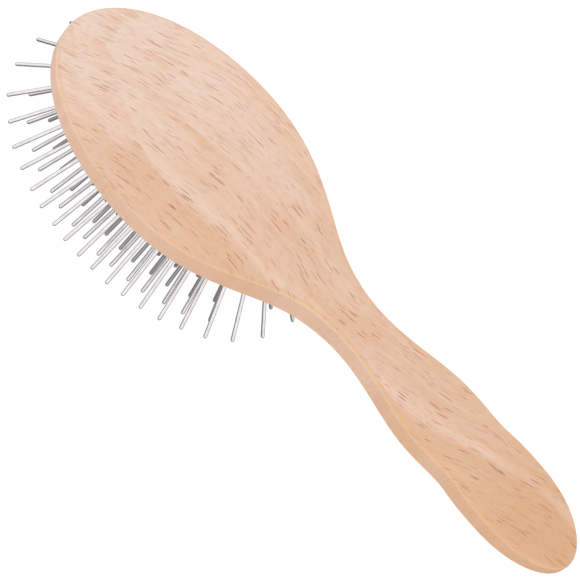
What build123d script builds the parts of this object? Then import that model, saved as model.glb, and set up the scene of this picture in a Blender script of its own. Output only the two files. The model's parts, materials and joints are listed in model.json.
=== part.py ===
from build123d import *
from math import atan, copysign, cos, pi, radians, sin, sqrt
import os

# Cushioned pin brush: a one-piece beech head and handle, a domed rubber cushion snapped into an
# oval pocket in the front of the head, and rings of steel pins that fan out of the cushion.
# It stands with its back up (+Z), its pins down and its handle along +X. While it is built,
# lengths along X are measured from the middle of the cushion and heights from the rim plane,
# the flat front of the head. Everything is moved to the part's own origin, the bottom centre of
# its box, when it is written. Millimetres.

# ---- wood ----
BODY_LENGTH = 230.0          # head tip to handle end
HEAD_LENGTH_A = 55.3         # head tip to the middle of the cushion
HEAD_HALF_WIDTH = 33.3
NECK_HALF_WIDTH = 8.8
THUMB_HALF_WIDTH = 14.1      # first swelling of the handle
WAIST_HALF_WIDTH = 13.6      # slight waist between the two swellings
PALM_HALF_WIDTH = 14.9       # second swelling, near the handle's end
PALM_X = 147.0               # where the second swelling is widest
HEAD_THICKNESS = 13.2        # at its thickest, just behind the middle of the cushion
NECK_THICKNESS = 10.3
HANDLE_THICKNESS = 11.0      # at the first swelling
TIP_THICKNESS = 6.3
END_THICKNESS = 5.6
HEAD_CROWN = 130.0           # radius of the cross curve of the back of the head
NECK_CROWN = 75.0
HANDLE_CROWN = 60.0
UNDERSIDE_RISE = 0.8         # flat underside of the handle above the rim plane
BACK_EDGE_RADIUS = 1.8
FRONT_EDGE_RADIUS = 1.2

# ---- pocket, cushion and backing cloth ----
POCKET_A = 48.8              # half length of the oval pocket
POCKET_B = 29.6              # half width of the oval pocket
POCKET_DEPTH = 6.0
GROOVE_DEPTH = 1.2           # undercut in the pocket's wall that holds the cushion's bead
GROOVE_LOW = 1.6             # heights of the groove's two sides
GROOVE_HIGH = 4.0
SOFT_GAP = 0.15              # between rubber and wood
RUBBER = 2.0                 # thickness of the rubber
DOME_HEIGHT = 7.4            # how far the cushion bulges below the rim plane
DOME_SHOULDER = 20.0         # how far in from the wall the bulge levels out
VENT_RADIUS = 1.0            # air hole in the middle of the cushion
BACKING_START = 3.95         # front of the backing cloth, behind the rubber's outer surface
BACKING = 0.7                # thickness of the backing cloth

# ---- pins ----
RING_A = 45.0                # half length of the outer ring of pin roots
RING_B = 25.8                # half width of the outer ring
RING_GAP = 5.0               # from one ring to the next
RING_NAMES = ["outer", "second", "third", "fourth", "inner"]
RING_PINS = [40, 34, 28, 22, 16]
END_GROUP = [5, 5, 5, 3, 3]  # pins in the group at each end of a ring
SIDE_GROUPS = [3, 3, 2, 2, 1]  # groups along each side of a ring
OUTER_LEAN = 42.5            # outward lean of the outer ring, degrees
LEAN_STEP = 10.2             # each ring inwards leans this much less
HEAD_LEAN = 3.0              # extra lean of the outer ring's pins at the tip of the head
END_STRETCH = 0.10           # how much wider than average the pins stand at a ring's ends
SETTING_ERROR = 1.0          # how far a pin may stand out of true, degrees
PIN_RADIUS = 0.63
PIN_LENGTH = 24.0            # from the rubber's outer surface to the tip
INNER_PIN_LENGTH = 23.45     # the upright inner pins end level with the leaning fourth ring
PIN_HEAD_RADIUS = 1.5
PIN_HEAD = 0.6               # thickness of the flat head
PIN_HEAD_DEPTH = 2.8         # front of the flat head, behind the rubber's outer surface
PIN_HOLE_RADIUS = 0.85       # hole in the rubber, wide enough for a pin to rock
ROCK_DEPTH = 1.0             # a pin rocks about the middle of the rubber's thickness


# ---- wooden body ----
def body_outline():
    """The outline seen from the back: an oval head, a slim neck and a handle with two swellings."""
    tip_x, end_x = -HEAD_LENGTH_A, BODY_LENGTH - HEAD_LENGTH_A
    head = EllipticalCenterArc((0, 0), HEAD_LENGTH_A, HEAD_HALF_WIDTH, 90, arc_size=90)
    end = EllipticalCenterArc((PALM_X, 0), end_x - PALM_X, PALM_HALF_WIDTH, 0, arc_size=90)
    stations = [
        (0, HEAD_HALF_WIDTH),
        (0.50 * HEAD_LENGTH_A, 0.840 * HEAD_HALF_WIDTH),
        (0.80 * HEAD_LENGTH_A, 0.577 * HEAD_HALF_WIDTH),
        (1.03 * HEAD_LENGTH_A, 0.372 * HEAD_HALF_WIDTH),
        (75.0, NECK_HALF_WIDTH),
        (96.0, 0.81 * THUMB_HALF_WIDTH),
        (113.0, THUMB_HALF_WIDTH),
        (128.0, WAIST_HALF_WIDTH),
        (PALM_X, PALM_HALF_WIDTH),
    ]
    side = head + Spline(stations, tangents=[(1, 0), (1, 0)]) + end
    return make_face(side + mirror(side, Plane.XZ))


def cross_slice(x, top, crown):
    """A slice across the body at x, with an arched back and a deep flat base."""
    reach, base = HEAD_HALF_WIDTH + 6, -20
    edge = top - crown + sqrt(crown**2 - reach**2)
    arch = ThreePointArc((-reach, edge), (0, top), (reach, edge))
    rest = Polyline((reach, edge), (reach, base), (-reach, base), (-reach, edge))
    across = Plane(origin=(x, 0, 0), x_dir=(0, 1, 0), z_dir=(1, 0, 0))
    return across * make_face(arch + rest)


def arched_block():
    """A block with an arched back that is thickest over the cushion and thins towards both ends."""
    slices = [
        (-70.0, TIP_THICKNESS - 4.5, HEAD_CROWN),
        (-HEAD_LENGTH_A, TIP_THICKNESS, HEAD_CROWN),
        (-42.0, 0.70 * HEAD_THICKNESS, HEAD_CROWN),
        (-20.0, 0.91 * HEAD_THICKNESS, HEAD_CROWN),
        (10.0, HEAD_THICKNESS, HEAD_CROWN),
        (45.0, 0.92 * HEAD_THICKNESS, (HEAD_CROWN + NECK_CROWN) / 2),
        (80.0, NECK_THICKNESS, NECK_CROWN),
        (115.0, HANDLE_THICKNESS, HANDLE_CROWN),
        (PALM_X, HANDLE_THICKNESS - 0.5, HANDLE_CROWN),
        (162.0, 0.81 * HANDLE_THICKNESS, HANDLE_CROWN),
        (BODY_LENGTH - HEAD_LENGTH_A, END_THICKNESS, HANDLE_CROWN),
        (190.0, END_THICKNESS - 4.5, HANDLE_CROWN),
    ]
    return loft([cross_slice(x, top, crown) for x, top, crown in slices])


def under_handle():
    """The space below the raised, flat underside of the neck and handle."""
    start, level, far, low = 58.0, 86.0, BODY_LENGTH, -2.0
    rise = Spline([(start, 0), (level, UNDERSIDE_RISE)], tangents=[(1, 0), (1, 0)])
    rest = Polyline((level, UNDERSIDE_RISE), (far, UNDERSIDE_RISE), (far, low), (start, low), (start, 0))
    return extrude(Plane.XZ * make_face(rise + rest), amount=HEAD_HALF_WIDTH, both=True)


def oval_block(inset, low, high):
    """An upright oval block, with its wall set in from the wall of the pocket."""
    oval = Ellipse(POCKET_A - inset, POCKET_B - inset)
    return extrude(Plane.XY.offset(low) * oval, amount=high - low)


def wooden_body():
    body = extrude(body_outline(), amount=HEAD_THICKNESS + 5) & arched_block()
    body = body - under_handle()
    long_edges = [edge for edge in body.edges() if edge.length > 2 * BACK_EDGE_RADIUS]
    back = [edge for edge in long_edges if edge.bounding_box().min.Z > HANDLE_THICKNESS / 2]
    body = fillet(back, BACK_EDGE_RADIUS)
    front = [
        edge
        for edge in body.edges()
        if edge.bounding_box().max.Z < UNDERSIDE_RISE + 0.1 and abs(edge.center().Y) > 1
    ]
    body = fillet(front, FRONT_EDGE_RADIUS)
    hollow = oval_block(0, -2, POCKET_DEPTH) + oval_block(-GROOVE_DEPTH, GROOVE_LOW, GROOVE_HIGH)
    return body - hollow


# ---- rubber cushion and backing cloth ----
def dome_depth(inset):
    """How far the dome's outer surface lies below the rim plane, this far in from the pocket's wall."""
    rise = min(inset / DOME_SHOULDER, 1)
    return DOME_HEIGHT * (1 - (1 - rise) ** 2)


def dome_slope(inset):
    rise = min(inset / DOME_SHOULDER, 1)
    return atan(2 * DOME_HEIGHT / DOME_SHOULDER * (1 - rise))


def dome_block(offset):
    """The dome as a solid block, with its surface this far behind the rubber's outer surface."""
    first, last, steps = 0.55 * offset, DOME_SHOULDER, 6
    ovals = []
    for step in range(steps + 1):
        inset = first + (last - first) * step / steps
        slope = dome_slope(inset)
        height = offset * cos(slope) - dome_depth(inset)
        shrink = inset + offset * sin(slope)
        ovals.append(Plane.XY.offset(height) * Ellipse(POCKET_A - shrink, POCKET_B - shrink))
    return loft(ovals)


def rim_height(offset):
    """Height of the open rim of a dome block."""
    first = 0.55 * offset
    return offset * cos(dome_slope(first)) - dome_depth(first)


def rubber_cushion():
    """Domed membrane, upright skirt inside the pocket, and a bead that sits in the groove."""
    skirt = oval_block(SOFT_GAP, 0, GROOVE_HIGH - SOFT_GAP)
    bead = oval_block(SOFT_GAP - GROOVE_DEPTH, GROOVE_LOW + SOFT_GAP, GROOVE_HIGH - SOFT_GAP)
    inside = dome_block(RUBBER) + oval_block(SOFT_GAP + RUBBER, rim_height(RUBBER), GROOVE_HIGH)
    cushion = dome_block(0) + skirt + bead - inside
    vent = Pos(0, 0, -DOME_HEIGHT) * Cylinder(VENT_RADIUS, 3 * RUBBER)
    holes = [pin_frame(ring, index) * Cylinder(PIN_HOLE_RADIUS, 5 * RUBBER) for ring, index in all_pins()]
    return cushion - ([vent] + holes)


def cushion_backing():
    """Thin cloth behind the flat heads of the pins, with a flat rim that meets the skirt."""
    front, rear = dome_block(BACKING_START), dome_block(BACKING_START + BACKING)
    low = rim_height(BACKING_START)
    rim = oval_block(SOFT_GAP + RUBBER, low, low + BACKING)
    lid = oval_block(0, rim_height(BACKING_START + BACKING), GROOVE_HIGH)
    cloth = front + rim - rear
    return cloth - lid


# ---- pins ----
def ring_axes(ring):
    return RING_A - ring * RING_GAP, RING_B - ring * RING_GAP


def all_pins():
    return [(ring, index) for ring, count in enumerate(RING_PINS) for index in range(count)]


def root_on_oval(ring, index):
    """Where a pin stands on its ring, counted round from the middle of the ring's handle end."""
    quarter = EllipticalCenterArc((0, 0), *ring_axes(ring), 0, arc_size=90)
    turn = index / RING_PINS[ring]
    quarters = 4 * (turn + END_STRETCH * sin(4 * pi * turn) / (4 * pi))
    share = 1 - abs(1 - quarters % 2)
    point = quarter.position_at(share * quarter.length, position_mode=PositionMode.LENGTH)
    return Vector(copysign(point.X, cos(2 * pi * turn)), copysign(point.Y, sin(2 * pi * turn)))


def outward_at(ring, point):
    """Horizontal direction square to a ring at a point on it."""
    half_length, half_width = ring_axes(ring)
    return Vector(point.X / half_length**2, point.Y / half_width**2).normalized()


def pin_frame(ring, index):
    """Plane at a pin's root on the rubber's outer surface, with its Z axis towards the pin's tip."""
    root = root_on_oval(ring, index)
    outward = outward_at(ring, root)
    sideways = Vector(0, 0, 1).cross(outward)
    half_length, _ = ring_axes(ring)
    fan = OUTER_LEAN - LEAN_STEP * ring - HEAD_LEAN * (1 - ring / 4) * root.X / half_length
    lean = radians(fan + SETTING_ERROR * sin(2.4 * index + 1.7 * ring))
    skew = radians(SETTING_ERROR * cos(3.1 * index + 0.9 * ring))
    aim = outward * sin(lean) + Vector(0, 0, -cos(lean)) + sideways * sin(skew)
    depth = dome_depth(POCKET_A - half_length)
    return Plane(origin=(root.X, root.Y, -depth), z_dir=aim)


def pin(length):
    """One pin with its root at the origin and its tip up: flat head, straight wire, round tip."""
    shoulder = length - PIN_RADIUS
    head_front, head_rear = -PIN_HEAD_DEPTH, -PIN_HEAD_DEPTH - PIN_HEAD
    sides = Polyline(
        (0, length),
        (0, head_rear),
        (PIN_HEAD_RADIUS, head_rear),
        (PIN_HEAD_RADIUS, head_front),
        (PIN_RADIUS, head_front),
        (PIN_RADIUS, shoulder),
    )
    tip = CenterArc((0, shoulder), PIN_RADIUS, 0, 90)
    return revolve(Plane.XZ * make_face(sides + tip), Axis.Z)


def pin_groups():
    """{node: (ring, [pin numbers])}: each ring cut into short runs of neighbouring pins.

    Left and right are as seen from the handle, looking at the back, and groups along a side are
    numbered from the head's end.
    """
    groups = {}
    for ring, name in enumerate(RING_NAMES):
        count, reach, parts = RING_PINS[ring], END_GROUP[ring] // 2, SIDE_GROUPS[ring]
        half = count // 2
        ends = range(-reach, reach + 1)
        groups[f"{name}_pins_handle_end"] = ring, [index % count for index in ends]
        groups[f"{name}_pins_head_end"] = ring, [half + index for index in ends]
        side = list(range(reach + 1, half - reach))
        for part in range(parts):
            run = side[len(side) * part // parts:len(side) * (part + 1) // parts]
            number = parts - part
            groups[f"{name}_pins_right_{number}"] = ring, run
            groups[f"{name}_pins_left_{number}"] = ring, [count - index for index in run]
    return groups


def pin_group(ring, numbers):
    """Separate pins of one group, as a compound of solids."""
    one = pin(INNER_PIN_LENGTH if RING_NAMES[ring] == "inner" else PIN_LENGTH)
    return Compound([(pin_frame(ring, index).location * one).solid() for index in numbers])


def row_hinge(ring, numbers):
    """Pivot and axis about which a group's pins rock, outwards when the turn is positive."""
    frames = [pin_frame(ring, index) for index in numbers]
    pivots = [frame.origin - frame.z_dir * ROCK_DEPTH for frame in frames]
    outward = sum([outward_at(ring, frame.origin) for frame in frames], Vector()).normalized()
    return sum(pivots, Vector()) / len(pivots), Vector(outward.Y, -outward.X)


# ---- the whole part ----
def part_nodes():
    """Every node's shape, measured from the cushion's middle and the rim plane."""
    nodes = {
        "wooden_body": wooden_body(),
        "rubber_cushion": rubber_cushion(),
        "cushion_backing": cushion_backing(),
    }
    for name, (ring, numbers) in pin_groups().items():
        nodes[name] = pin_group(ring, numbers)
    return nodes


def origin_shift(nodes):
    """The move that puts the origin at the bottom centre of the whole part's box."""
    box = Compound([solid for shape in nodes.values() for solid in shape.solids()]).bounding_box()
    return Vector(-(box.min.X + box.max.X) / 2, 0, -box.min.Z)


def main():
    os.makedirs("parts", exist_ok=True)
    nodes = part_nodes()
    shift = Location(origin_shift(nodes))
    for name, shape in nodes.items():
        export_step(shape.moved(shift), f"parts/{name}.step")
    for name, (ring, numbers) in pin_groups().items():
        pivot, axis = row_hinge(ring, numbers)
        print(name, "rocks about", (pivot + shift.position).to_tuple(), "along", axis.to_tuple())


if __name__ == "__main__":
    main()
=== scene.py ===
"""Looks of the cushioned pin brush: beech body, moulded rubber cushion, cotton backing, steel pins."""

import json
import math

import bmesh
import bpy
from mathutils import Matrix, Vector
from mathutils.kdtree import KDTree


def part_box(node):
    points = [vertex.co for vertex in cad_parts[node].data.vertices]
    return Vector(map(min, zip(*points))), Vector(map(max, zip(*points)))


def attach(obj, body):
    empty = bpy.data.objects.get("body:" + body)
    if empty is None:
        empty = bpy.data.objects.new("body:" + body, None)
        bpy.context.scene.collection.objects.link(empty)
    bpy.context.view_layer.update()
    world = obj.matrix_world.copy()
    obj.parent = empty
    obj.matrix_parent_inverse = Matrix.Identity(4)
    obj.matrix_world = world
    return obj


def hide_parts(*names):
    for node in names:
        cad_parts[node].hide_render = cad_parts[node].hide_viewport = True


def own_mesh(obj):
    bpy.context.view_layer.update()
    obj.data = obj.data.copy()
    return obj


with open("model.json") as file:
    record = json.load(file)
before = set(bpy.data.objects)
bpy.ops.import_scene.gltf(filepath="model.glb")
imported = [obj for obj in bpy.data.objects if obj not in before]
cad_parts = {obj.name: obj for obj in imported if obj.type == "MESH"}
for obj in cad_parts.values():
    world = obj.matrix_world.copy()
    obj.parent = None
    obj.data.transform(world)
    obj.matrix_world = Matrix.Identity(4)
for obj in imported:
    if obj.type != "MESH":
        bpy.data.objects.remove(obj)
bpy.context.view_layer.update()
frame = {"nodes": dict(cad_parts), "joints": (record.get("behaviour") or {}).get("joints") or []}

MM = 0.001

FRAME_SIDE = 580          # the picture's side, in pixels
FOCAL_LENGTH = 3000       # in pixels too
SENSOR = 36.0
VIEW_AZIMUTH = -3.14      # degrees
VIEW_ELEVATION = 58.75
VIEW_ROLL = 45.02
VIEW_DISTANCE = 938.5 * MM
VIEW_OFFSET = Vector((52.72, -5.23, 0)) * MM   # from the cushion's middle to what the camera looks at

PRESS = next(joint for joint in frame["joints"] if joint["name"] == "cushion_press")
RIM_HEIGHT = PRESS["deforming_nodes"][0]["fixed_end_z_m"]
CUSHION_LOW, CUSHION_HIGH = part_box("rubber_cushion")
MIDDLE = Vector(((CUSHION_LOW.x + CUSHION_HIGH.x) / 2, 0, RIM_HEIGHT))
BEAD = 1.05 * MM          # how far the cushion's bead stands out into the groove of the pocket
POCKET_A = (CUSHION_HIGH.x - CUSHION_LOW.x) / 2 - BEAD
POCKET_B = (CUSHION_HIGH.y - CUSHION_LOW.y) / 2 - BEAD
DOME_HEIGHT = RIM_HEIGHT - CUSHION_LOW.z
DOME_SHOULDER = 20 * MM   # how far in from the wall the bulge levels out
PIN_NODES = [name for name in frame["nodes"] if "_pins_" in name]


# ---------------------------------------------------------------- shader graphs
def linear(red, green, blue):
    """A colour named by its 0 to 255 screen values, as Blender's linear colour."""
    def channel(value):
        share = value / 255
        return share / 12.92 if share <= 0.04045 else ((share + 0.055) / 1.055) ** 2.4
    return channel(red), channel(green), channel(blue), 1.0


class Graph:
    """One material's node tree, with short calls that add a node and return its output."""

    def __init__(self, name):
        self.material = bpy.data.materials.new(name)
        self.material.use_nodes = True
        self.nodes = self.material.node_tree.nodes
        self.links = self.material.node_tree.links
        self.shader = next(node for node in self.nodes if node.type == "BSDF_PRINCIPLED")

    def node(self, kind, sockets, **settings):
        """A node with its settings made and its input sockets linked or set."""
        made = self.nodes.new(kind)
        for name, value in settings.items():
            setattr(made, name, value)
        for name, value in sockets.items():
            if isinstance(value, bpy.types.NodeSocket):
                self.links.new(value, made.inputs[name])
            else:
                made.inputs[name].default_value = value
        return made

    def surface(self, **sockets):
        """Sets or links the shader's own sockets, named with _ in place of a space."""
        for name, value in sockets.items():
            socket = self.shader.inputs[name.replace("_", " ")]
            if isinstance(value, bpy.types.NodeSocket):
                self.links.new(value, socket)
            else:
                socket.default_value = value

    def math(self, operation, first, second=0.0, third=0.0):
        made = self.nodes.new("ShaderNodeMath")
        made.operation = operation
        for socket, value in zip(made.inputs, (first, second, third)):
            if isinstance(value, bpy.types.NodeSocket):
                self.links.new(value, socket)
            else:
                socket.default_value = value
        return made.outputs[0]

    def product(self, first, *factors):
        """The first value times all the others."""
        for factor in factors:
            first = self.math("MULTIPLY", first, factor)
        return first

    def position(self):
        """Position in millimetres from the middle of the cushion's rim, as a vector and x, y, z."""
        coordinates = self.node("ShaderNodeTexCoord", {}).outputs["Object"]
        centred = self.node("ShaderNodeVectorMath", {0: coordinates, 1: MIDDLE}, operation="SUBTRACT")
        scaled = self.node(
            "ShaderNodeVectorMath", {0: centred.outputs[0], "Scale": 1 / MM}, operation="SCALE"
        )
        parts = self.node("ShaderNodeSeparateXYZ", {0: scaled.outputs[0]}).outputs
        return scaled.outputs[0], parts[0], parts[1], parts[2]

    def vector(self, x, y, z=0.0):
        return self.node("ShaderNodeCombineXYZ", {"X": x, "Y": y, "Z": z}).outputs[0]

    def noise(self, vector, scale=1.0, detail=2.0, roughness=0.5):
        sockets = {"Vector": vector, "Scale": scale, "Detail": detail, "Roughness": roughness}
        return self.node("ShaderNodeTexNoise", sockets).outputs["Fac"]

    def remap(self, value, low, high, to_low=0.0, to_high=1.0, smooth=True):
        sockets = {
            "Value": value,
            "From Min": low,
            "From Max": high,
            "To Min": to_low,
            "To Max": to_high,
        }
        kind = "SMOOTHSTEP" if smooth else "LINEAR"
        return self.node("ShaderNodeMapRange", sockets, interpolation_type=kind).outputs[0]

    def mix(self, factor, first, second, blend="MIX"):
        """first where factor is 0, second where it is 1; both are colours."""
        made = self.nodes.new("ShaderNodeMix")
        made.data_type = "RGBA"
        made.blend_type = blend
        for index, value in ((0, factor), (6, first), (7, second)):
            if isinstance(value, bpy.types.NodeSocket):
                self.links.new(value, made.inputs[index])
            else:
                made.inputs[index].default_value = value
        return made.outputs[2]

    def bump(self, height, distance, strength=1.0, normal=None):
        sockets = {"Height": height, "Distance": distance, "Strength": strength}
        if normal is not None:
            sockets["Normal"] = normal
        return self.node("ShaderNodeBump", sockets).outputs[0]


# ---------------------------------------------------------------- beech
def grain_coordinates(graph, x, y):
    """Distance across the grain, in millimetres: the grain line rises, dips at the neck and rises."""
    wave, start, slope, height = 175, 45, 0.17, 5.6
    turn = 2 * math.pi / wave
    swing = graph.math("SINE", graph.math("MULTIPLY_ADD", x, turn, turn * start))
    line = graph.math("ADD", graph.product(x, slope), graph.product(swing, height))
    straight = graph.math("SUBTRACT", y, line)
    drift = graph.noise(graph.vector(x, y), 0.025, 1.0)
    return graph.math("MULTIPLY_ADD", drift, 9.0, straight)


def dashes(graph, x, across, z, length, width, spacing, share, seed):
    """Short dark strokes along the grain: one in each stretched cell, in that share of the cells."""
    stretch = length / width
    cell_across = spacing / math.sqrt(stretch)
    cell_along = spacing * math.sqrt(stretch)
    ragged = graph.noise(graph.vector(x, across, z), 0.9, 2.0)
    shaken = graph.math("MULTIPLY_ADD", ragged, 0.28, across)
    place = graph.vector(
        graph.math("MULTIPLY_ADD", x, 1 / cell_along, seed),
        graph.math("MULTIPLY_ADD", shaken, 1 / cell_across, seed),
    )
    cells = graph.node(
        "ShaderNodeTexVoronoi", {"Vector": place, "Scale": 1.0}, voronoi_dimensions="2D"
    ).outputs
    chance = graph.node("ShaderNodeSeparateColor", {0: cells["Color"]}).outputs
    radius = 0.5 * width / cell_across
    size = graph.remap(chance[1], 0.0, 1.0, 0.45 * radius, 1.15 * radius, smooth=False)
    closeness = graph.math("DIVIDE", cells["Distance"], size)
    mark = graph.remap(closeness, 0.66, 1.0, 1.0, 0.0)
    present = graph.math("LESS_THAN", chance[0], share)
    depth = graph.remap(chance[2], 0.0, 1.0, 0.35, 1.0, smooth=False)
    return graph.product(mark, present, depth)


def dash_layers(graph, x, across, z, share, layers):
    """Two layers of dashes, each a (length, width, spacing, seed), laid over each other."""
    first, second = [dashes(graph, x, across, z, *sizes[:3], share, sizes[3]) for sizes in layers]
    return graph.math("MAXIMUM", first, second)


PALE_BEECH = linear(240, 215, 201)
TAN_BEECH = linear(221, 173, 132)
# painted shade colour for where the back falls to its edges
FALLOFF_SHADE_BEECH = linear(234, 186, 142)
# painted highlight colour for the rounded edge between the back and the walls
CREASE_HIGHLIGHT_BEECH = linear(250, 214, 174)
WALL_BEECH = linear(232, 182, 146)
RING_BEECH = linear(226, 178, 134)
FIBRE_BEECH = linear(212, 168, 138)
RAY_BEECH = linear(168, 66, 34)
SEAM_BEECH = linear(244, 220, 203)


def board_tone(graph, x, y, across):
    """Share of tan in the board: pale at the head's tip, tan at the handle's end and on one side."""
    head = graph.remap(x, -60.0, 55.0, 0.06, 0.52)
    handle = graph.remap(x, 100.0, 172.0, 0.0, 0.52)
    side = graph.remap(y, -32.0, 32.0, 0.17, -0.17, smooth=False)
    fade = graph.remap(x, -20.0, 90.0, 1.0, 0.35)
    patches = graph.noise(graph.vector(graph.product(x, 0.22), across), 0.16, 2.0)
    streaks = graph.noise(graph.vector(graph.product(x, 0.06), across), 0.42, 2.0)
    tone = graph.math("ADD", head, handle)
    tone = graph.math("ADD", tone, graph.remap(patches, 0.25, 0.75, -0.10, 0.10, smooth=False))
    tone = graph.math("ADD", tone, graph.remap(streaks, 0.30, 0.70, -0.11, 0.11, smooth=False))
    return graph.math("MAXIMUM", graph.math("MULTIPLY_ADD", side, fade, tone), 0.0)


def late_wander(graph, x, across, z):
    """Slow wander of the growth rings, drawn out along the grain."""
    return graph.noise(graph.vector(graph.product(x, 0.18), across, z), 0.12, 3.0)


def growth_rings(graph, x, across, z):
    """Late wood, 0 to 1: broad layers that lie nearly flat, so that the arched back cuts them in bands."""
    wander = late_wander(graph, x, across, z)
    layer = graph.math("MULTIPLY_ADD", wander, 2.8, graph.math("MULTIPLY_ADD", across, 0.085, z))
    ring = graph.math("FRACT", graph.product(layer, 0.42))
    rise = graph.remap(ring, 0.20, 0.90)
    return graph.product(rise, graph.remap(ring, 0.90, 1.0, 1.0, 0.0))


def figure(graph, x, y, board):
    """The board with a pale seam that runs along the grain and a tan flame on its near side."""
    sweep = graph.remap(x, 95.0, 165.0, 0.0, 12.0)
    seam = graph.math("ADD", graph.math("MULTIPLY_ADD", x, 0.09, -16.5), sweep)
    reach = 5.0
    waver = graph.noise(graph.vector(graph.product(x, 0.5), y), 0.06, 2.0)
    offset = graph.math("MULTIPLY_ADD", waver, reach, graph.math("SUBTRACT", y, seam))
    offset = graph.math("SUBTRACT", offset, reach / 2)
    streaks = graph.noise(graph.vector(graph.product(x, 0.04), offset), 0.8, 2.0)
    streaks = graph.remap(streaks, 0.30, 0.65, 0.55, 1.0)
    flame = graph.product(
        graph.remap(offset, -15.0, -9.0),
        graph.remap(offset, -5.5, -1.5, 1.0, 0.0),
        graph.remap(x, -35.0, -5.0),
        streaks,
    )
    board = graph.mix(graph.product(flame, 0.52), board, TAN_BEECH)
    pale = graph.remap(graph.math("ABSOLUTE", offset), 0.3, 3.2, 1.0, 0.0)
    return graph.mix(graph.product(pale, streaks, 0.44), board, SEAM_BEECH)


def figure_lines(graph, x, across, z, broken):
    """Fine lines of the figure, clearest towards the handle's end."""
    wander = late_wander(graph, x, across, z)
    lines = graph.math("FRACT", graph.math("MULTIPLY_ADD", wander, 5.0, graph.product(across, 1.15)))
    lines = graph.product(graph.remap(lines, 0.35, 0.80), graph.remap(lines, 0.80, 1.0, 1.0, 0.0))
    return graph.product(lines, broken, graph.remap(x, 40.0, 150.0, 0.12, 0.60))


def beech():
    graph = Graph("beech")
    x, y, z = graph.position()[1:]
    across = grain_coordinates(graph, x, y)
    normal = graph.node("ShaderNodeNewGeometry", {}).outputs["Normal"]
    facing = graph.node("ShaderNodeSeparateXYZ", {0: normal}).outputs
    upright = graph.math("ABSOLUTE", facing[2])

    # the board's tone, its figure and its growth rings
    board = graph.mix(board_tone(graph, x, y, across), PALE_BEECH, TAN_BEECH)
    board = figure(graph, x, y, board)
    late = growth_rings(graph, x, across, z)
    gaps = graph.noise(graph.vector(graph.product(x, 0.1), across), 0.35, 2.0)
    broken = graph.remap(gaps, 0.35, 0.7)
    board = graph.mix(graph.product(late, broken, 0.50), board, RING_BEECH)

    # painted shade where the arched back falls to its edges, a painted highlight along the rounded edge
    # between the back and the walls, and a warmer tone on the side walls
    falling = graph.math("ABSOLUTE", facing[1])
    # painted shade: a warmer, darker tone on the part of the back that turns down to its edges, chosen by
    # the surface's slope
    rim = graph.product(graph.remap(falling, 0.10, 0.40), graph.remap(upright, 0.35, 0.75))
    board = graph.mix(graph.product(rim, graph.remap(x, 10.0, 80.0, 0.50, 0.70)), board, FALLOFF_SHADE_BEECH)
    # painted highlight: a pale line along the rounded edge where the back meets the side walls, chosen by
    # the surface's tilt
    crease_highlight = graph.product(
        graph.remap(upright, 0.34, 0.56), graph.remap(upright, 0.56, 0.78, 1.0, 0.0), 0.40
    )
    board = graph.mix(crease_highlight, board, CREASE_HIGHLIGHT_BEECH)
    board = graph.mix(graph.remap(upright, 0.10, 0.50, 0.42, 0.0), board, WALL_BEECH)

    # fine lines and fibres
    board = graph.mix(figure_lines(graph, x, across, z, broken), board, FIBRE_BEECH)
    fibre_place = graph.vector(graph.product(x, 0.40), graph.product(across, 3.6), z)
    fibres = graph.noise(fibre_place, 1.0, 4.0, 0.62)
    board = graph.mix(graph.remap(fibres, 0.34, 0.72, 0.0, 0.32), board, FIBRE_BEECH)

    # medullary rays: dark tapering dashes in loose chains on the back and front, faint on the walls
    flat = graph.remap(upright, 0.45, 0.85, 0.10, 1.0)
    chains = graph.noise(graph.vector(graph.product(x, 0.06), across), 0.55, 1.0)
    strength = graph.product(flat, graph.remap(chains, 0.38, 0.58, 0.45, 1.0))
    strong = dash_layers(graph, x, across, z, 0.52, ((6.8, 0.31, 4.3, 3.7), (4.0, 0.30, 3.1, 11.2)))
    faint = dash_layers(graph, x, across, z, 0.70, ((2.2, 0.27, 1.7, 27.5), (3.4, 0.26, 2.3, 41.0)))
    board = graph.mix(graph.product(faint, strength, 0.30), board, RAY_BEECH)
    board = graph.mix(graph.product(strong, strength, 0.90), board, RAY_BEECH)

    relief = graph.math("MULTIPLY_ADD", fibres, -0.6, graph.product(strong, -1.0))
    gloss = graph.remap(fibres, 0.3, 0.7, 0.42, 0.52, smooth=False)
    graph.surface(
        Base_Color=board,
        Roughness=graph.math("MULTIPLY_ADD", strong, 0.2, gloss),
        Normal=graph.bump(relief, 0.04 * MM, 0.6),
        Specular_IOR_Level=0.40,
    )
    return graph.material


# ---------------------------------------------------------------- steel
def pin_steel():
    graph = Graph("pin_steel")
    place, x, y, z = graph.position()
    drawn = graph.noise(graph.vector(x, y, graph.product(z, 0.12)), 5.0, 2.0)
    haze = graph.noise(place, 0.35, 2.0)
    tint = graph.mix(graph.remap(haze, 0.3, 0.7), linear(250, 246, 246), linear(238, 233, 233))
    rough = graph.remap(drawn, 0.3, 0.7, 0.10, 0.18, smooth=False)
    graph.surface(
        Base_Color=tint,
        Metallic=1.0,
        Roughness=rough,
        Normal=graph.bump(drawn, 0.01 * MM, 0.15),
    )
    return graph.material


# ---------------------------------------------------------------- rubber and cloth
def cushion_rubber():
    graph = Graph("cushion_rubber")
    place = graph.position()[0]
    mottle = graph.noise(place, 0.12, 3.0)
    speckle = graph.noise(place, 3.5, 3.0, 0.65)
    base = graph.mix(graph.remap(mottle, 0.3, 0.7), linear(34, 33, 34), linear(46, 44, 45))
    bloom = graph.remap(speckle, 0.62, 0.80, 0.0, 0.22)
    base = graph.mix(bloom, base, linear(92, 90, 90))
    graph.surface(
        Base_Color=base,
        Roughness=graph.remap(mottle, 0.3, 0.7, 0.52, 0.66, smooth=False),
        Normal=graph.bump(speckle, 0.06 * MM, 0.7),
        Specular_IOR_Level=0.45,
    )
    return graph.material


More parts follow.
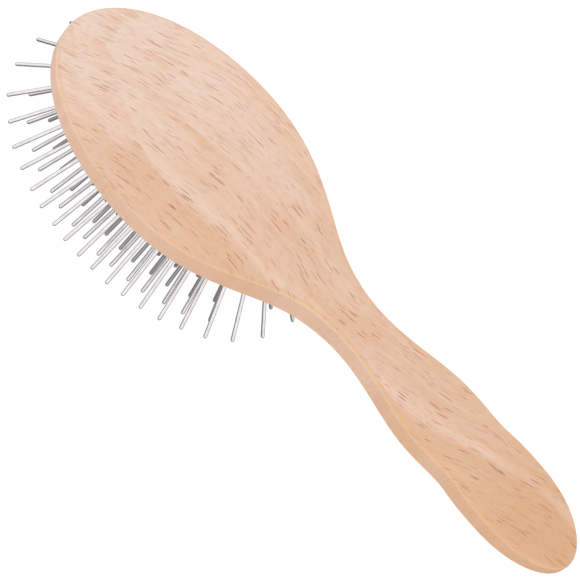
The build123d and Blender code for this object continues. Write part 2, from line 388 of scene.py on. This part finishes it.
def backing_cotton():
    graph = Graph("backing_cotton")
    x, y, z = graph.position()[1:]
    thread = 0.9
    warp = graph.math("SINE", graph.product(x, 2 * math.pi / thread))
    weft = graph.math("SINE", graph.product(y, 2 * math.pi / thread))
    weave = graph.product(warp, weft)
    slub = graph.noise(graph.vector(graph.product(x, 0.2), y, z), 1.1, 2.0)
    shade = graph.mix(graph.remap(weave, -1.0, 1.0), linear(214, 206, 190), linear(240, 234, 221))
    shade = graph.mix(graph.remap(slub, 0.5, 0.8, 0.0, 0.4), shade, linear(196, 186, 168))
    graph.surface(
        Base_Color=shade,
        Roughness=0.9,
        Sheen_Weight=0.3,
        Normal=graph.bump(weave, 0.12 * MM, 0.8),
    )
    return graph.material


# ---------------------------------------------------------------- cushion
def islands(mesh):
    """Lists of vertex positions, one for each separate shell of a mesh."""
    group = list(range(len(mesh.vertices)))

    def root(index):
        while group[index] != index:
            group[index] = group[group[index]]
            index = group[index]
        return index

    welded = {}
    for vertex in mesh.vertices:
        key = tuple(round(value * 1e6) for value in vertex.co)
        group[root(vertex.index)] = root(welded.setdefault(key, vertex.index))
    for edge in mesh.edges:
        group[root(edge.vertices[0])] = root(edge.vertices[1])
    shells = {}
    for vertex in mesh.vertices:
        shells.setdefault(root(vertex.index), []).append(vertex.co.copy())
    return list(shells.values())


def pin_axes():
    """(point at the flat head, point at the tip) of every pin, read from the pin nodes."""
    axes = []
    for name in PIN_NODES:
        for shell in islands(frame["nodes"][name].data):
            tip = min(shell, key=lambda point: point.z)
            far = max((point - tip).length for point in shell)
            head = [point for point in shell if (point - tip).length > far - 0.4 * MM]
            axes.append((sum(head, Vector()) / len(head), tip))
    return axes


def dome_depth(inset):
    """Depth of the dome below the rim plane, this far in from the pocket's wall."""
    return DOME_HEIGHT * (1 - (1 - min(inset / DOME_SHOULDER, 1)) ** 2)


def inset_at(x, y):
    """How far in from the pocket's wall a point lies, on the family of ovals the dome is made of."""
    low, high = 0.0, POCKET_B
    for _ in range(24):
        inset = (low + high) / 2
        inside = (x / (POCKET_A - inset)) ** 2 + (y / max(POCKET_B - inset, 1e-9)) ** 2 < 1
        low, high = (inset, high) if inside else (low, inset)
    return low


def pin_roots():
    """Where each pin's axis crosses the dome's surface."""
    roots = []
    for head, tip in pin_axes():
        low, high = 0.0, 1.0
        for _ in range(20):
            share = (low + high) / 2
            point = head.lerp(tip, share)
            depth = dome_depth(inset_at(point.x - MIDDLE.x, point.y))
            low, high = (share, high) if MIDDLE.z - point.z < depth else (low, share)
        roots.append(head.lerp(tip, low))
    return roots


def oval_shell(name, profile, columns):
    """A closed shell swept round the pocket: each (inset, height) of the profile becomes an oval."""
    mesh = bmesh.new()
    rows = []
    for inset, height in profile:
        row = []
        for column in range(columns):
            turn = 2 * math.pi * column / columns
            x = MIDDLE.x + (POCKET_A - inset) * math.cos(turn)
            row.append(mesh.verts.new((x, (POCKET_B - inset) * math.sin(turn), RIM_HEIGHT + height)))
        rows.append(row)
    for row, after in zip(rows, rows[1:]):
        for column in range(columns):
            beside = (column + 1) % columns
            mesh.faces.new((row[column], row[beside], after[beside], after[column]))
    bmesh.ops.remove_doubles(mesh, verts=mesh.verts, dist=0.02 * MM)
    bmesh.ops.recalc_face_normals(mesh, faces=mesh.faces)
    for face in mesh.faces:
        face.smooth = True
    data = bpy.data.meshes.new(name)
    mesh.to_mesh(data)
    mesh.free()
    piece = bpy.data.objects.new(name, data)
    bpy.context.scene.collection.objects.link(piece)
    return piece


def dome_rows(count, first, behind):
    """Profile points of a dome from its middle out to an inset, this far behind the outer surface."""
    insets = [POCKET_B + (first - POCKET_B) * row / count for row in range(count + 1)]
    return [(inset, behind - dome_depth(inset)) for inset in insets]


def carried_by_cushion(piece, material, replaced):
    """Finishes a piece that stands for one CAD node of the cushion's body and moves with it."""
    piece.data.materials.append(material)
    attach(piece, "cushion")
    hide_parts(replaced)


def raised(reach, inset, centre):
    """How much higher than the plain dome a point lies, all in millimetres.

    reach is the distance to the nearest pin, inset to the pocket's wall, centre to the middle.
    """
    dimple = 0.55 * math.exp(-(reach / 1.15) ** 2)
    line = 0.22 * math.exp(-((inset - 1.9) / 0.38) ** 2)
    vent = 1.3 / (1 + math.exp((centre - 0.95) / 0.12))
    return dimple + line + vent


def cushion():
    """Moulded membrane with a dimple round each pin, a vent hole and a moulding line by the wall."""
    gap, rubber, top = 0.15 * MM, 2.0 * MM, 3.85 * MM
    skirt = [(gap, 0.4 * MM), (gap, top), (gap + rubber, top)]
    inside = dome_rows(14, gap + rubber, rubber)
    piece = oval_shell("cushion_dome", dome_rows(76, gap, 0.0) + skirt + inside[::-1], 560)
    roots = pin_roots()
    tree = KDTree(len(roots))
    for index, root in enumerate(roots):
        tree.insert(root, index)
    tree.balance()
    for vertex in piece.data.vertices:
        x, y, low = vertex.co.x - MIDDLE.x, vertex.co.y, RIM_HEIGHT - vertex.co.z
        inset = inset_at(x, y)
        outside = low >= -0.01 * MM and low >= dome_depth(inset) - 0.5 * MM
        if outside:
            reach = tree.find(vertex.co)[2]
            vertex.co.z += raised(reach / MM, inset / MM, math.hypot(x, y) / MM) * MM
    carried_by_cushion(piece, cushion_rubber(), "rubber_cushion")
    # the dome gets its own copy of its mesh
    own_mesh(piece)


def backing():
    """Cotton disc behind the flat heads of the pins, with room for them to rock."""
    front, thickness, edge = 4.7 * MM, 0.5 * MM, 3.4 * MM
    outer, inner = dome_rows(30, edge, front), dome_rows(30, edge, front + thickness)
    piece = oval_shell("backing_disc", outer + inner[::-1], 160)
    carried_by_cushion(piece, backing_cotton(), "cushion_backing")


def paint(node, material):
    """Gives a CAD node its finished material."""
    mesh = frame["nodes"][node].data
    mesh.materials.clear()
    mesh.materials.append(material)


# ---------------------------------------------------------------- studio
def studio_camera():
    turn = (
        Matrix.Rotation(math.radians(-VIEW_AZIMUTH), 3, "Z")
        @ Matrix.Rotation(math.radians(90 - VIEW_ELEVATION), 3, "X")
        @ Matrix.Rotation(math.radians(VIEW_ROLL), 3, "Z")
    )
    place = MIDDLE + VIEW_OFFSET + turn @ Vector((0, 0, VIEW_DISTANCE))
    data = bpy.data.cameras.new("camera")
    data.sensor_width = SENSOR
    data.lens = FOCAL_LENGTH / FRAME_SIDE * SENSOR
    data.clip_start, data.clip_end = 0.05, 20
    camera = bpy.data.objects.new("camera", data)
    bpy.context.scene.collection.objects.link(camera)
    camera.matrix_world = Matrix.Translation(place) @ turn.to_4x4()
    bpy.context.scene.camera = camera


def area_light(name, place, size, power):
    """A soft rectangular light that points at the middle of the cushion."""
    data = bpy.data.lights.new(name, "AREA")
    data.shape = "RECTANGLE"
    data.size, data.size_y = size
    data.energy = power
    light = bpy.data.objects.new(name, data)
    bpy.context.scene.collection.objects.link(light)
    light.location = place
    light.rotation_euler = (MIDDLE - Vector(place)).to_track_quat("-Z", "Y").to_euler()


def light_tent():
    """A white tent overhead and dim surroundings below the horizon, which steel shows at its edges."""
    world = bpy.data.worlds.new("studio")
    bpy.context.scene.world = world
    world.use_nodes = True
    nodes, links = world.node_tree.nodes, world.node_tree.links
    direction = nodes.new("ShaderNodeTexCoord")
    parts = nodes.new("ShaderNodeSeparateXYZ")
    ramp = nodes.new("ShaderNodeMapRange")
    ramp.interpolation_type = "SMOOTHSTEP"
    for name, value in (("From Min", -0.50), ("From Max", 0.08), ("To Min", 0.20), ("To Max", 0.96)):
        ramp.inputs[name].default_value = value
    links.new(direction.outputs["Generated"], parts.inputs[0])
    links.new(parts.outputs["Z"], ramp.inputs["Value"])
    links.new(ramp.outputs[0], nodes["Background"].inputs["Strength"])
    nodes["Background"].inputs["Color"].default_value = (1, 1, 1, 1)


def studio():
    light_tent()
    area_light("overhead", (0.1, 0.25, 1.1), (1.0, 0.8), 0.7)
    area_light("key", (-0.6, -0.5, 0.8), (0.5, 0.5), 0.3)

    mesh = bpy.data.meshes.new("floor")
    grid = bmesh.new()
    bmesh.ops.create_grid(grid, x_segments=8, y_segments=8, size=3.0)
    grid.to_mesh(mesh)
    grid.free()
    floor = bpy.data.objects.new("floor", mesh)
    bpy.context.scene.collection.objects.link(floor)
    graph = Graph("floor_white")
    graph.surface(Base_Color=(0.14, 0.14, 0.14, 1), Roughness=0.8, Specular_IOR_Level=0.0)
    graph.surface(Emission_Color=(1, 1, 1, 1), Emission_Strength=0.93)
    mesh.materials.append(graph.material)
    floor.visible_glossy = False
    bpy.context.scene.view_settings.view_transform = "Standard"


paint("wooden_body", beech())
steel = pin_steel()
for pin_node in PIN_NODES:
    paint(pin_node, steel)
cushion()
backing()
studio_camera()
studio()
